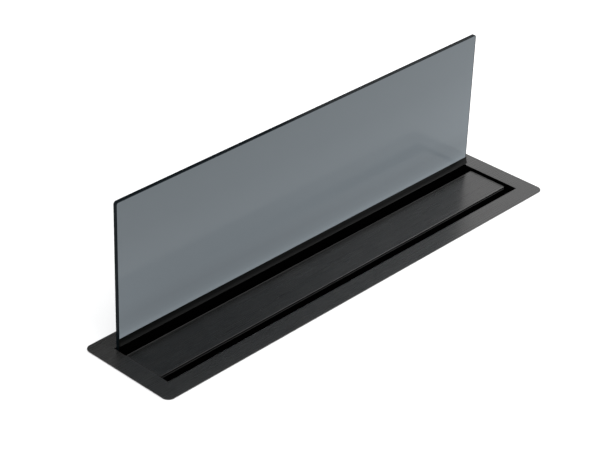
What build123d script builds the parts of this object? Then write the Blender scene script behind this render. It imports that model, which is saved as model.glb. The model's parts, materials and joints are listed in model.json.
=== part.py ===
"""Retractable tinted glass screen in a flush frame, with its built-in lift housing.

Millimetres. The origin is the centre of the frame's footprint on the worktop plane.
+X runs along the frame, +Y towards the screen at the rear, +Z up.
The screen is modelled raised, which is its rest position.
"""

from build123d import *
from math import asin, cos, sin
import os

os.makedirs("parts", exist_ok=True)

# ---- driving dimensions -----------------------------------------------------
frame_length = 880.0
frame_width = 184.0
frame_sheet = 1.5
frame_corner = 12.0
tape_thick = 0.5
border_end = 32.0
border_front = 34.0
border_rear = 32.0
collar_sheet = 1.5
collar_depth = 12.0

glass_thick = 6.0
glass_side_gap = 3.0
glass_rear_gap = 1.0
glass_corner = 5.0
screen_rise = 254.0
glass_below = 52.0

cover_end_gap = 3.6
cover_front = -36.0
cover_rear = 39.0
cover_thick = 2.0
cover_sunk = 4.0

panel_sheet = 1.2
housing_x = 424.0
housing_front = -74.0
housing_rear = 76.0
housing_bottom = -350.0
chamber_x = 404.0
chamber_floor_z = -200.0
divider_front = 44.0
support_z = -35.0

screw_x = 413.5
screw_y = 34.0
screw_r = 4.0
journal_r = 3.0
running_gap = 0.05
motor_y = -10.0
pulley_r = 7.1
belt_r = 7.4
belt_thick = 1.3

duct_z = -122.0
duct_r = 74.5
gland_x = 350.0
gland_z = -322.0

# ---- values worked out from them --------------------------------------------
top_z = tape_thick + frame_sheet
half_length = frame_length / 2
half_width = frame_width / 2
open_x = half_length - border_end
open_front = -half_width + border_front
open_rear = half_width - border_rear
glass_x = open_x - glass_side_gap
glass_back = open_rear - glass_rear_gap
glass_front = glass_back - glass_thick
glass_top = top_z + screen_rise
cover_x = open_x - cover_end_gap
cover_top = top_z - cover_sunk
inner_x = housing_x - panel_sheet
inner_front = housing_front + panel_sheet
inner_rear = housing_rear - panel_sheet
floor_top = housing_bottom + panel_sheet
pulley_low = floor_top + 10.8
pulley_high = pulley_low + 10.0
sides = (("left", -1), ("right", 1))


def block(x_span, y_span, z_span, mode=Mode.ADD):
    """Add one rectangular block between two corners to the part being built."""
    middle = tuple(sum(span) / 2 for span in (x_span, y_span, z_span))
    lengths = [abs(span[1] - span[0]) for span in (x_span, y_span, z_span)]
    with Locations(middle):
        Box(*lengths, mode=mode)


def mirrored(side, near, far):
    """An X span on the left (-1) or the right (1), lowest value first."""
    return tuple(sorted((side * near, side * far)))


def rod(x, y, z_span, radius, mode=Mode.ADD):
    """Add one upright round rod to the part being built."""
    with Locations((x, y, sum(z_span) / 2)):
        Cylinder(radius, z_span[1] - z_span[0], mode=mode)


def cross_rod(x, z, y_span, radius, mode=Mode.ADD):
    """Add one round rod along Y to the part being built."""
    with Locations(Location((x, sum(y_span) / 2, z), (90, 0, 0))):
        Cylinder(radius, y_span[1] - y_span[0], mode=mode)


def finish(piece, label):
    """Label a finished piece and write its STEP file."""
    piece.label = label
    export_step(piece, f"parts/{label}.step")


# ---- frame and its seal -------------------------------------------------------
opening_width = open_rear - open_front
opening_y = (open_rear + open_front) / 2

with BuildPart() as flange_frame:
    with BuildSketch(Plane.XY.offset(tape_thick)):
        RectangleRounded(frame_length, frame_width, frame_corner)
        with Locations((0, opening_y)):
            Rectangle(2 * open_x, opening_width, mode=Mode.SUBTRACT)
    extrude(amount=frame_sheet)
    rim = flange_frame.faces().sort_by(Axis.Z)[-1].outer_wire().edges()
    chamfer(rim, 0.4)
    with BuildSketch(Plane.XY.offset(-collar_depth)):
        with Locations((0, opening_y)):
            Rectangle(2 * (open_x + collar_sheet), opening_width + 2 * collar_sheet)
            Rectangle(2 * open_x, opening_width, mode=Mode.SUBTRACT)
    extrude(amount=collar_depth + tape_thick)
finish(flange_frame.part, "flange_frame")

tape_inset = 2.0
tape_width = 8.0
with BuildPart() as seal_tape:
    with BuildSketch():
        tape_length = frame_length - 2 * tape_inset
        tape_span = frame_width - 2 * tape_inset
        RectangleRounded(tape_length, tape_span, frame_corner - tape_inset)
        inner_length = frame_length - 2 * (tape_inset + tape_width)
        inner_width = frame_width - 2 * (tape_inset + tape_width)
        Rectangle(inner_length, inner_width, mode=Mode.SUBTRACT)
    extrude(amount=tape_thick)
finish(seal_tape.part, "seal_tape")

wiper_reach = 0.65
with BuildPart() as rear_wiper:
    block(
        (-glass_x, glass_x),
        (open_rear - wiper_reach, open_rear + collar_sheet),
        (-collar_depth - 5, -collar_depth),
    )
    lips = rear_wiper.edges().filter_by(Axis.X).group_by(Axis.Z)[0]
    fillet(lips, 0.8)
finish(rear_wiper.part, "rear_wiper")

# ---- housing of folded sheet ----------------------------------------------------
fold_low = tape_thick - panel_sheet
fold_width = 12.0
seam_x = housing_x - 7.0
seam_heights = (-60.0, -180.0, -310.0)
seam_hole_r = 2.0
clamp_x = 300.0
clamp_screw_z = -80.0

with BuildPart() as front_panel:
    block((-housing_x, housing_x), (housing_front, inner_front), (floor_top, tape_thick))
    block(
        (-housing_x, housing_x),
        (inner_front, housing_front + fold_width),
        (fold_low, tape_thick),
    )
    cross_rod(0, duct_z, (housing_front, inner_front), duct_r - panel_sheet, Mode.SUBTRACT)
    cross_rod(gland_x, gland_z, (housing_front, inner_front), 8.1, Mode.SUBTRACT)
    for x in (-seam_x, seam_x):
        for z in seam_heights:
            cross_rod(x, z, (housing_front, inner_front), seam_hole_r, Mode.SUBTRACT)
    for x in (-clamp_x, clamp_x):
        cross_rod(x, clamp_screw_z, (housing_front, inner_front), seam_hole_r, Mode.SUBTRACT)
finish(front_panel.part, "front_panel")

with BuildPart() as rear_panel:
    block((-housing_x, housing_x), (inner_rear, housing_rear), (floor_top, tape_thick))
    block(
        (-housing_x, housing_x),
        (housing_rear - fold_width, inner_rear),
        (fold_low, tape_thick),
    )
    for x in (-seam_x, seam_x):
        for z in seam_heights:
            cross_rod(x, z, (inner_rear, housing_rear), seam_hole_r, Mode.SUBTRACT)
    for x in (-clamp_x, clamp_x):
        cross_rod(x, clamp_screw_z, (inner_rear, housing_rear), seam_hole_r, Mode.SUBTRACT)
finish(rear_panel.part, "rear_panel")

tab_width = 12.0
tab_front = (inner_front, inner_front + panel_sheet)
tab_rear = (inner_rear - panel_sheet, inner_rear)
for name, side in sides:
    with BuildPart() as end_plate:
        block(
            mirrored(side, inner_x, housing_x),
            (inner_front, inner_rear),
            (floor_top, fold_low),
        )
        block(
            mirrored(side, housing_x - fold_width, housing_x),
            (housing_front + fold_width + 0.5, housing_rear - fold_width - 0.5),
            (fold_low, tape_thick),
        )
        for tab in (tab_front, tab_rear):
            block(mirrored(side, inner_x - tab_width, inner_x), tab, (-330, -20))
            for z in seam_heights:
                cross_rod(side * seam_x, z, tab, seam_hole_r, Mode.SUBTRACT)
    finish(end_plate.part, f"end_plate_{name}")

lip_height = 14.0
with BuildPart() as base_plate:
    block(
        (-housing_x, housing_x),
        (housing_front, housing_rear),
        (housing_bottom, floor_top),
    )
    for lip in (tab_front, tab_rear):
        block((-330, 330), lip, (floor_top, floor_top + lip_height))
finish(base_plate.part, "base_plate")

# ---- air chamber under the cover ---------------------------------------------------
chamber_low = chamber_floor_z - panel_sheet
ends_top = support_z - 3.0
with BuildPart() as chamber_floor:
    block(
        (-chamber_x, chamber_x),
        (inner_front, divider_front + panel_sheet),
        (chamber_low, chamber_floor_z),
    )
finish(chamber_floor.part, "chamber_floor")

for name, side in sides:
    with BuildPart() as chamber_end:
        block(
            mirrored(side, chamber_x - panel_sheet, chamber_x),
            (inner_front, divider_front),
            (chamber_floor_z, ends_top),
        )
    finish(chamber_end.part, f"chamber_end_{name}")

support_low = support_z - panel_sheet
with BuildPart() as divider_panel:
    block(
        (-chamber_x, chamber_x),
        (divider_front, divider_front + panel_sheet),
        (chamber_floor_z, support_z),
    )
    block(
        (-chamber_x + 3, chamber_x - 3),
        (divider_front - fold_width, divider_front),
        (support_low, support_z),
    )
finish(divider_panel.part, "divider_panel")

with BuildPart() as front_support:
    block(
        (-chamber_x + 3, chamber_x - 3),
        (inner_front, -48),
        (support_low, support_z),
    )
    block(
        (-chamber_x + 3, chamber_x - 3),
        tab_front,
        (support_z - 11, support_low),
    )
finish(front_support.part, "front_support")

pad_thick = 0.8
with BuildPart() as cover_pads:
    for x in (-385, -15, 15, 385):
        for y in (-52, 37):
            rod(x, y, (support_z, support_z + pad_thick), 4)
finish(cover_pads.part, "cover_pads")

duct_length = 50.0
with BuildPart() as duct_spigot:
    with BuildSketch(Plane.XZ.offset(-housing_front)):
        with Locations((0, duct_z)):
            Circle(duct_r + 8)
            Circle(duct_r - panel_sheet, mode=Mode.SUBTRACT)
    extrude(amount=panel_sheet)
    with BuildSketch(Plane.XZ.offset(-housing_front)):
        with Locations((0, duct_z)):
            Circle(duct_r)
            Circle(duct_r - panel_sheet, mode=Mode.SUBTRACT)
    extrude(amount=duct_length)
finish(duct_spigot.part, "duct_spigot")

# ---- lift-out cover with its filters ------------------------------------------------
with BuildPart() as cover_plate:
    with BuildSketch(Plane.XY.offset(cover_top - cover_thick)):
        with Locations((0, (cover_front + cover_rear) / 2)):
            RectangleRounded(2 * cover_x, cover_rear - cover_front, 1.5)
    extrude(amount=cover_thick)
    rim = cover_plate.faces().sort_by(Axis.Z)[-1].outer_wire().edges()
    chamfer(rim, 0.4)
finish(cover_plate.part, "cover_plate")

tray_top = cover_top - cover_thick
tray_sheet = 1.5
tray_depth = 12.0
tray_front = cover_front - 3.0
tray_rear = cover_rear - 2.0
tray_x = cover_x - 2.4
with BuildPart() as cover_frame:
    block((-tray_x, tray_x), (tray_front, tray_rear), (tray_top - tray_depth, tray_top))
    block(
        (-tray_x + tray_sheet, tray_x - tray_sheet),
        (tray_front + tray_sheet, tray_rear - tray_sheet),
        (tray_top - tray_depth, tray_top - tray_sheet),
        Mode.SUBTRACT,
    )
finish(cover_frame.part, "cover_frame")

filter_low = support_z + 1.0
filter_top = filter_low + 12.0
filter_front = -56.0
filter_rear = 46.0
filter_x = 402.0
filter_bar = 14.0
mesh_low = filter_low + 3.0
mesh_top = filter_top - 3.0
for name, side in sides:
    with BuildPart() as filter_frame:
        block(
            mirrored(side, 1, filter_x),
            (filter_front, filter_rear),
            (filter_low, filter_top),
        )
        block(
            mirrored(side, 1 + filter_bar, filter_x - filter_bar),
            (filter_front + filter_bar, filter_rear - filter_bar),
            (filter_low, filter_top),
            Mode.SUBTRACT,
        )
    finish(filter_frame.part, f"filter_frame_{name}")

    with BuildPart() as filter_mesh:
        block(
            mirrored(side, 1 + filter_bar, filter_x - filter_bar),
            (filter_front + filter_bar, filter_rear - filter_bar),
            (mesh_low, mesh_top),
        )
    finish(filter_mesh.part, f"filter_mesh_{name}")

with BuildPart() as cover_standoffs:
    for x in (-394, -8, 8, 394):
        for y in (-28, 24):
            rod(x, y, (filter_top, tray_top - tray_sheet), 4)
    for x in (-394, -8, 8, 394):
        block((x - 6, x + 6), (-44, 34), (filter_top, filter_top + 1.5))
finish(cover_standoffs.part, "cover_standoffs")

# ---- glass screen and its carriage ----------------------------------------------------
glass_bottom = -glass_below
with BuildPart() as glass_pane:
    with BuildSketch(Plane.XZ.offset(-glass_back)):
        with Locations((0, (glass_top + glass_bottom) / 2)):
            Rectangle(2 * glass_x, glass_top - glass_bottom)
    extrude(amount=glass_thick)
    upright = glass_pane.edges().filter_by(Axis.Y).group_by(Axis.Z)[-1]
    fillet(upright, glass_corner)
    for face in (glass_pane.faces().sort_by(Axis.Y)[0], glass_pane.faces().sort_by(Axis.Y)[-1]):
        chamfer(face.outer_wire().edges(), 0.6)
finish(glass_pane.part, "glass_pane")

trim_face = glass_front - 1.0
trim_high = top_z + 18.2
trim_low = top_z + 6.6
trim_skirt = -16.0
lip_out = 2.6
lip_edge = 0.8
cove_drop = trim_high - trim_low - lip_edge
cove_r = (cove_drop**2 + lip_out**2) / (2 * lip_out)
cove_half = asin(cove_drop / cove_r) / 2
cove_middle = (trim_face - cove_r * (1 - cos(cove_half)), trim_high - cove_r * sin(cove_half))
cove_end = (trim_face - lip_out, trim_low + lip_edge)
with BuildPart() as base_trim:
    with BuildSketch(Plane.YZ):
        with BuildLine():
            ThreePointArc((trim_face, trim_high), cove_middle, cove_end)
            Polyline(
                cove_end,
                (trim_face - lip_out, trim_low),
                (trim_face, trim_low),
                (trim_face, trim_skirt),
                (glass_front, trim_skirt),
                (glass_front, trim_high),
                (trim_face, trim_high),
            )
        make_face()
    extrude(amount=glass_x, both=True)
finish(base_trim.part, "base_trim")

liner_thick = 1.5
beam_wall = 2.0
beam_web = 4.0
beam_front = glass_front - liner_thick - beam_wall
beam_rear = glass_back + liner_thick + beam_wall
beam_low = glass_bottom - 6.0
beam_top = -34.0
beam_y = (glass_front + glass_back) / 2
foot_screw_x = (glass_x - 14.0, glass_x - 6.0)
with BuildPart() as carriage_beam:
    block((-glass_x, glass_x), (beam_front, beam_rear), (beam_low, beam_top))
    block(
        (-glass_x, glass_x),
        (glass_front - liner_thick, glass_back + liner_thick),
        (beam_low + beam_web, beam_top),
        Mode.SUBTRACT,
    )
    for x in foot_screw_x:
        for side_x in (-x, x):
            rod(side_x, beam_y, (beam_low, beam_low + beam_web), seam_hole_r, Mode.SUBTRACT)
finish(carriage_beam.part, "carriage_beam")

with BuildPart() as glass_liners:
    for y_span in (
        (glass_front - liner_thick, glass_front),
        (glass_back, glass_back + liner_thick),
    ):
        block((-glass_x + 5, glass_x - 5), y_span, (glass_bottom + 1, beam_top + 1))
finish(glass_liners.part, "glass_liners")

with BuildPart() as setting_blocks:
    for x in (-300, -100, 100, 300):
        block((x - 20, x + 20), (glass_front, glass_back), (beam_low + beam_web, glass_bottom))
finish(setting_blocks.part, "setting_blocks")

bracket_thick = 5.0
bracket_low = -66.0
bracket_high = -37.0
shelf_thick = 4.0
foot_thick = 3.0
foot_low = beam_low - foot_thick
shelf_front = 26.0
shelf_rear = 45.5
block_y = (46.0, 66.0)
nut_r = 5.1
rail_y = (51.5, 60.5)
rail_x = 416.3
for name, side in sides:
    with BuildPart() as lift_bracket:
        block(
            mirrored(side, glass_x, glass_x + bracket_thick),
            (shelf_front, block_y[1]),
            (bracket_low, bracket_high),
        )
        block(
            mirrored(side, glass_x + bracket_thick, 421),
            (shelf_front, shelf_rear),
            (bracket_low, bracket_low + shelf_thick),
        )
        block(
            mirrored(side, glass_x - 18, glass_x),
            (beam_front, beam_rear),
            (foot_low, beam_low),
        )
        for x in foot_screw_x:
            rod(side * x, beam_y, (foot_low, beam_low), seam_hole_r, Mode.SUBTRACT)
        rod(
            side * screw_x,
            screw_y,
            (bracket_low, bracket_high),
            nut_r + 2.1,
            Mode.SUBTRACT,
        )
        with BuildSketch(Plane.XY.offset(bracket_low)):
            with Locations((side * screw_x, screw_y)):
                Circle(nut_r + 2.2)
                Circle(nut_r, mode=Mode.SUBTRACT)
        extrude(amount=shelf_thick)
    finish(lift_bracket.part, f"lift_bracket_{name}")

    with BuildPart() as guide_block:
        block(mirrored(side, glass_x + bracket_thick, 421.8), block_y, (-66, -36))
        block(
            mirrored(side, rail_x - 0.3, 421.8),
            (rail_y[0] - 0.3, rail_y[1] + 0.3),
            (-66, -36),
            Mode.SUBTRACT,
        )
    finish(guide_block.part, f"guide_block_{name}")

    with BuildPart() as guide_rail:
        block(mirrored(side, rail_x, inner_x), rail_y, (-336, -20))
    finish(guide_rail.part, f"guide_rail_{name}")

with BuildPart() as screw_nuts:
    for _, side in sides:
        rod(side * screw_x, screw_y, (-70, bracket_low + shelf_thick), nut_r)
        rod(side * screw_x, screw_y, (bracket_low + shelf_thick, -58.5), 7)
        rod(side * screw_x, screw_y, (-70, -58.5), screw_r + running_gap, Mode.SUBTRACT)
finish(screw_nuts.part, "screw_nuts")

with BuildPart() as sensor_magnet:
    block((-420, -411), (shelf_front - 3, shelf_front), (bracket_low, -62))
finish(sensor_magnet.part, "sensor_magnet")

# ---- lead screws, bearings, pulleys and belt ------------------------------------------
bearing_r = 6.5
bearing_tall = 5.0
top_block_low = -34.0
low_block_high = floor_top + 8.8
for name, side in sides:
    with BuildPart() as lead_screw:
        rod(side * screw_x, screw_y, (pulley_high, -35), screw_r)
        rod(side * screw_x, screw_y, (floor_top + 1.5, pulley_high), journal_r)
        rod(side * screw_x, screw_y, (-35, -26), journal_r)
    finish(lead_screw.part, f"lead_screw_{name}")

pulley_flange_r = 8.6
pulleys = (
    ("screw_pulley_left", -screw_x, screw_y),
    ("screw_pulley_right", screw_x, screw_y),
    ("motor_pulley", 0, motor_y),
)
for name, x, y in pulleys:
    with BuildPart() as pulley:
        rod(x, y, (pulley_low, pulley_high), pulley_r)
        rod(x, y, (pulley_low, pulley_low + 1), pulley_flange_r)
        rod(x, y, (pulley_high - 1, pulley_high), pulley_flange_r)
        rod(x, y, (pulley_low, pulley_high), journal_r, Mode.SUBTRACT)
    finish(pulley.part, name)

with BuildPart() as top_bearing_blocks:
    for _, side in sides:
        block(mirrored(side, 405.6, inner_x), (24, 44), (top_block_low, -22))
        rod(side * screw_x, screw_y, (top_block_low, -22), journal_r + 0.6, Mode.SUBTRACT)
        seat = (top_block_low, top_block_low + bearing_tall)
        rod(side * screw_x, screw_y, seat, bearing_r, Mode.SUBTRACT)
finish(top_bearing_blocks.part, "top_bearing_blocks")

with BuildPart() as low_bearing_blocks:
    for _, side in sides:
        block(mirrored(side, 400, inner_x), (22, 46), (floor_top, low_block_high))
        rod(
            side * screw_x,
            screw_y,
            (floor_top, low_block_high),
            journal_r + 0.6,
            Mode.SUBTRACT,
        )
        seat = (low_block_high - bearing_tall, low_block_high)
        rod(side * screw_x, screw_y, seat, bearing_r, Mode.SUBTRACT)
finish(low_bearing_blocks.part, "low_bearing_blocks")

with BuildPart() as screw_bearings:
    for _, side in sides:
        for low in (top_block_low, low_block_high - bearing_tall):
            span = (low, low + bearing_tall)
            rod(side * screw_x, screw_y, span, bearing_r)
            rod(side * screw_x, screw_y, span, journal_r + running_gap, Mode.SUBTRACT)
finish(screw_bearings.part, "screw_bearings")

belt_path = ((-screw_x, screw_y), (screw_x, screw_y), (0, motor_y))
belt_low = pulley_low + 1.5
belt_wide = 7.0
with BuildPart() as drive_belt:
    with BuildSketch(Plane.XY.offset(belt_low)):
        with BuildLine():
            Polyline(*belt_path, close=True)
        make_face()
        offset(amount=belt_r + belt_thick, kind=Kind.ARC)
    extrude(amount=belt_wide)
    with BuildSketch(Plane.XY.offset(belt_low)):
        with BuildLine():
            Polyline(*belt_path, close=True)
        make_face()
        offset(amount=belt_r, kind=Kind.ARC)
    extrude(amount=belt_wide, mode=Mode.SUBTRACT)
finish(drive_belt.part, "drive_belt")

# ---- motor, control box and electrics ---------------------------------------------------
motor_plate_low = pulley_high + 2.5
motor_plate_high = motor_plate_low + 3.0
gearbox_high = motor_plate_high + 35.0
bracket_x = 30.0
leg_front = (motor_y - 26, motor_y - 23)
leg_rear = (motor_y + 25, motor_y + 28)
with BuildPart() as motor_bracket:
    block(
        (-bracket_x, bracket_x),
        (leg_front[0], leg_rear[1]),
        (motor_plate_low, motor_plate_high),
    )
    for leg in (leg_front, leg_rear):
        block((-bracket_x, bracket_x), leg, (floor_top, motor_plate_low))
    rod(0, motor_y, (motor_plate_low, motor_plate_high), 8, Mode.SUBTRACT)
finish(motor_bracket.part, "motor_bracket")

with BuildPart() as gearbox:
    rod(0, motor_y, (motor_plate_high, gearbox_high), 20)
    chamfer(gearbox.faces().sort_by(Axis.Z)[-1].edges(), 1.0)
    bore = (motor_plate_high, motor_plate_high + 14)
    rod(0, motor_y, bore, journal_r + running_gap, Mode.SUBTRACT)
finish(gearbox.part, "gearbox")

with BuildPart() as motor_can:
    rod(0, motor_y, (gearbox_high, gearbox_high + 56), 18)
    fillet(motor_can.faces().sort_by(Axis.Z)[-1].edges(), 2.0)
    rod(0, motor_y, (gearbox_high + 56, gearbox_high + 60), 6)
finish(motor_can.part, "motor_can")

with BuildPart() as motor_shaft:
    rod(0, motor_y, (pulley_low - 1, motor_plate_high + 12), journal_r)
finish(motor_shaft.part, "motor_shaft")

box_x = (150.0, 290.0)
box_y = (-68.0, -16.0)
box_wall = 2.0
box_high = floor_top + 32.0
with BuildPart() as control_box:
    block(box_x, box_y, (floor_top, box_high))
    fillet(control_box.edges().filter_by(Axis.Z), 4)
    block(
        (box_x[0] + box_wall, box_x[1] - box_wall),
        (box_y[0] + box_wall, box_y[1] - box_wall),
        (floor_top + box_wall, box_high),
        Mode.SUBTRACT,
    )
finish(control_box.part, "control_box")

with BuildPart() as control_box_lid:
    block(box_x, box_y, (box_high, box_high + 3))
    fillet(control_box_lid.edges().filter_by(Axis.Z), 4)
    chamfer(control_box_lid.faces().sort_by(Axis.Z)[-1].edges(), 0.8)
finish(control_box_lid.part, "control_box_lid")

with BuildPart() as circuit_board:
    block(
        (box_x[0] + 4, box_x[1] - 4),
        (box_y[0] + 4, box_y[1] - 4),
        (floor_top + 8, floor_top + 9.6),
    )
    for x in (box_x[0] + 10, box_x[1] - 10):
        for y in (box_y[0] + 10, box_y[1] - 10):
            rod(x, y, (floor_top + box_wall, floor_top + 8), 2.5)
    block((box_x[0] + 20, box_x[0] + 48), (-56, -28), (floor_top + 9.6, floor_top + 26))
    block((box_x[0] + 60, box_x[0] + 78), (-60, -46), (floor_top + 9.6, floor_top + 22))
finish(circuit_board.part, "circuit_board")

gland_bore = 4.25
with BuildPart() as cable_gland:
    cross_rod(gland_x, gland_z, (housing_front, inner_front + 8), 8)
    with BuildSketch(Plane.XZ.offset(-housing_front)):
        with Locations((gland_x, gland_z)):
            RegularPolygon(11, 6)
    extrude(amount=5)
    cross_rod(gland_x, gland_z, (housing_front - 15, housing_front - 5), 9.5)
    dome = cable_gland.faces().sort_by(Axis.Y)[0].edges()
    fillet(dome, 3)
    cross_rod(gland_x, gland_z, (housing_front - 15, inner_front + 8), gland_bore, Mode.SUBTRACT)
finish(cable_gland.part, "cable_gland")

with BuildPart() as gland_nut:
    with BuildSketch(Plane.XZ.offset(-inner_front - 5)):
        with Locations((gland_x, gland_z)):
            RegularPolygon(11, 6)
            Circle(8, mode=Mode.SUBTRACT)
    extrude(amount=5)
finish(gland_nut.part, "gland_nut")

sensor_y = (12.0, 22.0)
with BuildPart() as end_sensors:
    for z in (-62, -62 - screen_rise):
        block((-inner_x, -inner_x + 6), sensor_y, (z - 10, z + 10))
finish(end_sensors.part, "end_sensors")

# ---- fasteners and worktop clamps ----------------------------------------------------------
head_r = 3.6
head_tall = 2.0
shank_r = 1.9
with BuildPart() as panel_screws:
    for x in (-seam_x, seam_x):
        for z in seam_heights:
            cross_rod(x, z, (housing_front - head_tall, housing_front), head_r)
            cross_rod(x, z, (housing_front, inner_front + 5), shank_r)
            cross_rod(x, z, (housing_rear, housing_rear + head_tall), head_r)
            cross_rod(x, z, (inner_rear - 5, housing_rear), shank_r)
finish(panel_screws.part, "panel_screws")

clamp_width = 30.0
clamp_sheet = 2.0
clamp_reach = 14.0
clamp_low = -95.0
clamp_high = -52.0
clamp_faces = ((housing_front, -1), (housing_rear, 1))
with BuildPart() as clamp_brackets:
    for x in (-clamp_x, clamp_x):
        span = (x - clamp_width / 2, x + clamp_width / 2)
        for face_y, out in clamp_faces:
            near = face_y + out * clamp_sheet
            leg = tuple(sorted((face_y, near)))
            foot = tuple(sorted((near, face_y + out * clamp_reach)))
            block(span, leg, (clamp_low, clamp_high))
            block(span, foot, (clamp_high - clamp_sheet, clamp_high))
            cross_rod(x, clamp_screw_z, leg, seam_hole_r, Mode.SUBTRACT)
            jack_y = face_y + out * 8
            rod(x, jack_y, (clamp_high - clamp_sheet, clamp_high), 2.5, Mode.SUBTRACT)
finish(clamp_brackets.part, "clamp_brackets")

worktop_thick = 40.0
with BuildPart() as clamp_screws:
    for x in (-clamp_x, clamp_x):
        for face_y, out in clamp_faces:
            jack_y = face_y + out * 8
            rod(x, jack_y, (clamp_high - 18, -worktop_thick - 2), 2.5)
            rod(x, jack_y, (-worktop_thick - 2, -worktop_thick), 5)
            rod(x, jack_y, (clamp_high - 22, clamp_high - 18), 4)
            near = face_y + out * clamp_sheet
            cap = tuple(sorted((near, near + out * head_tall)))
            shank = tuple(sorted((near, face_y - out * 6)))
            cross_rod(x, clamp_screw_z, cap, head_r)
            cross_rod(x, clamp_screw_z, shank, shank_r)
finish(clamp_screws.part, "clamp_screws")

with BuildPart() as bracket_screws:
    for _, side in sides:
        for x in foot_screw_x:
            rod(side * x, beam_y, (foot_low - head_tall, foot_low), head_r)
            rod(side * x, beam_y, (foot_low, beam_low + 3.5), shank_r)
finish(bracket_screws.part, "bracket_screws")

print("glass pane", 2 * glass_x, "x", glass_top - glass_bottom, "mm")
print("frame opening", 2 * open_x, "x", opening_width, "mm")
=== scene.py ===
# %% [markdown]
# # A tinted glass screen that rises from a flush black frame
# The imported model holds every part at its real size: the frame, the cover, the pane and the lift below
# them. This lesson gives them their looks. It starts from that set of parts, and reads each part's box
# from it, so a piece goes where the model says. Sizes that a box can't tell, such as a rounding or a rim,
# are named here.

# %% Load the parts
import json
from math import atan2, cos, pi, radians, sin

import bpy
from mathutils import Matrix, Vector

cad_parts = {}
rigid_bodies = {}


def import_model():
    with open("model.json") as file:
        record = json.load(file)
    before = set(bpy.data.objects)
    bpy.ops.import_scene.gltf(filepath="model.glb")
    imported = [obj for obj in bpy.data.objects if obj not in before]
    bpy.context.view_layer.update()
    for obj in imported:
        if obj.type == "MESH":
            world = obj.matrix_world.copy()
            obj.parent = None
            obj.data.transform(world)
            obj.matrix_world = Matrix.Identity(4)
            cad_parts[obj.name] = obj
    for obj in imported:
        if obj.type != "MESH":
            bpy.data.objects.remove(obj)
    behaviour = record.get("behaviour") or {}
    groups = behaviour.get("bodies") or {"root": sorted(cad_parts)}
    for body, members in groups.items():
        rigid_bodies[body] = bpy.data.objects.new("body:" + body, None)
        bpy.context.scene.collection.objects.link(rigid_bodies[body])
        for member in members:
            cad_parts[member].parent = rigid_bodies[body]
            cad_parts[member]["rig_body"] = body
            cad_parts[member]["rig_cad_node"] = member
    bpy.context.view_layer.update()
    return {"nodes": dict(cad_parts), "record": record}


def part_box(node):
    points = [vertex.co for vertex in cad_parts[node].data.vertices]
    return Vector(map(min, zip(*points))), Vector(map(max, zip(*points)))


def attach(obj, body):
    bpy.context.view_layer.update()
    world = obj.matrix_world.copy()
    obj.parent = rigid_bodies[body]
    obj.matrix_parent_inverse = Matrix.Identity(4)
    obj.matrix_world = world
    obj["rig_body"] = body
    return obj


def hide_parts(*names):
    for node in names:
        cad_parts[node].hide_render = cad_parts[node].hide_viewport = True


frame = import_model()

scene = bpy.context.scene
mm = 0.001

# %% [markdown]
# ## Camera, floor and light first
# The unit is built into a worktop, so the floor here is a pale worktop with the cut-out that the housing
# drops into. A floor without the hole would show through the slots of the frame as a white sheet. The
# camera and the light come before the pieces, so that every later step can be looked at as it is made.

# %% Sizes that the stage needs
frame_low, frame_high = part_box("flange_frame")
glass_low, glass_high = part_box("glass_pane")
housing_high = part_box("rear_panel")[1]
front_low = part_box("front_panel")[0]
top = frame_high.z
print("frame on the worktop:", [round(v, 3) for v in frame_high - frame_low])


# %% Small helpers for modelling
def deselect():
    """Leave nothing selected, because an operator acts on all that is."""
    if bpy.context.mode != "OBJECT":
        bpy.ops.object.mode_set(mode="OBJECT")
    bpy.ops.object.select_all(action="DESELECT")


def only(piece):
    """Select one piece alone and make it the active one."""
    deselect()
    piece.select_set(True)
    bpy.context.view_layer.objects.active = piece


def named(name):
    """Name the piece that an operator has just added, mesh and all."""
    piece = bpy.context.object
    piece.name = name
    piece.data.name = name
    return piece


def settle(piece):
    """Put a piece's place and size into its mesh, so that its object sits at the origin."""
    only(piece)
    bpy.ops.object.transform_apply(location=True, rotation=True, scale=True)
    return piece


def add_block(name, low, high):
    """A box between two corners, as the start of a piece."""
    deselect()
    middle = [(a + b) / 2 for a, b in zip(low, high)]
    bpy.ops.mesh.primitive_cube_add(size=1, location=middle)
    piece = named(name)
    piece.scale = [b - a for a, b in zip(low, high)]
    return settle(piece)


MODES = {"VERT": (True, False, False), "EDGE": (False, True, False), "FACE": (False, False, True)}


def choose(piece, kind, test):
    """Enter edit mode with the corners, edges or faces selected whose middle and direction pass the test."""
    only(piece)
    mesh = piece.data
    bpy.context.tool_settings.mesh_select_mode = MODES[kind]
    for group in (mesh.vertices, mesh.edges, mesh.polygons):
        group.foreach_set("select", [False] * len(group))
    if kind == "VERT":
        for corner in mesh.vertices:
            corner.select = test(corner.co, corner.normal)
    elif kind == "EDGE":
        for edge in mesh.edges:
            a, b = (mesh.vertices[i].co for i in edge.vertices)
            edge.select = test((a + b) / 2, (b - a).normalized())
    else:
        for face in mesh.polygons:
            face.select = test(face.center, face.normal)
    bpy.ops.object.mode_set(mode="EDIT")


def leave():
    """Back to object mode."""
    bpy.ops.object.mode_set(mode="OBJECT")


def near(a, b, slack=0.05 * mm):
    """True when two lengths are the same to within a hair."""
    return abs(a - b) < slack


def modify(piece, kind, **settings):
    """Add a modifier with its settings and apply it."""
    only(piece)
    modifier = piece.modifiers.new(kind.title(), kind)
    for key, value in settings.items():
        setattr(modifier, key, value)
    bpy.ops.object.modifier_apply(modifier=modifier.name)


def smooth(piece, angle):
    """Shade smoothly across edges below an angle, and keep large faces flat beside small roundings."""
    only(piece)
    bpy.ops.object.shade_smooth_by_angle(angle=radians(angle))
    modify(piece, "WEIGHTED_NORMAL", mode="FACE_AREA", weight=100, keep_sharp=True)


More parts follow.
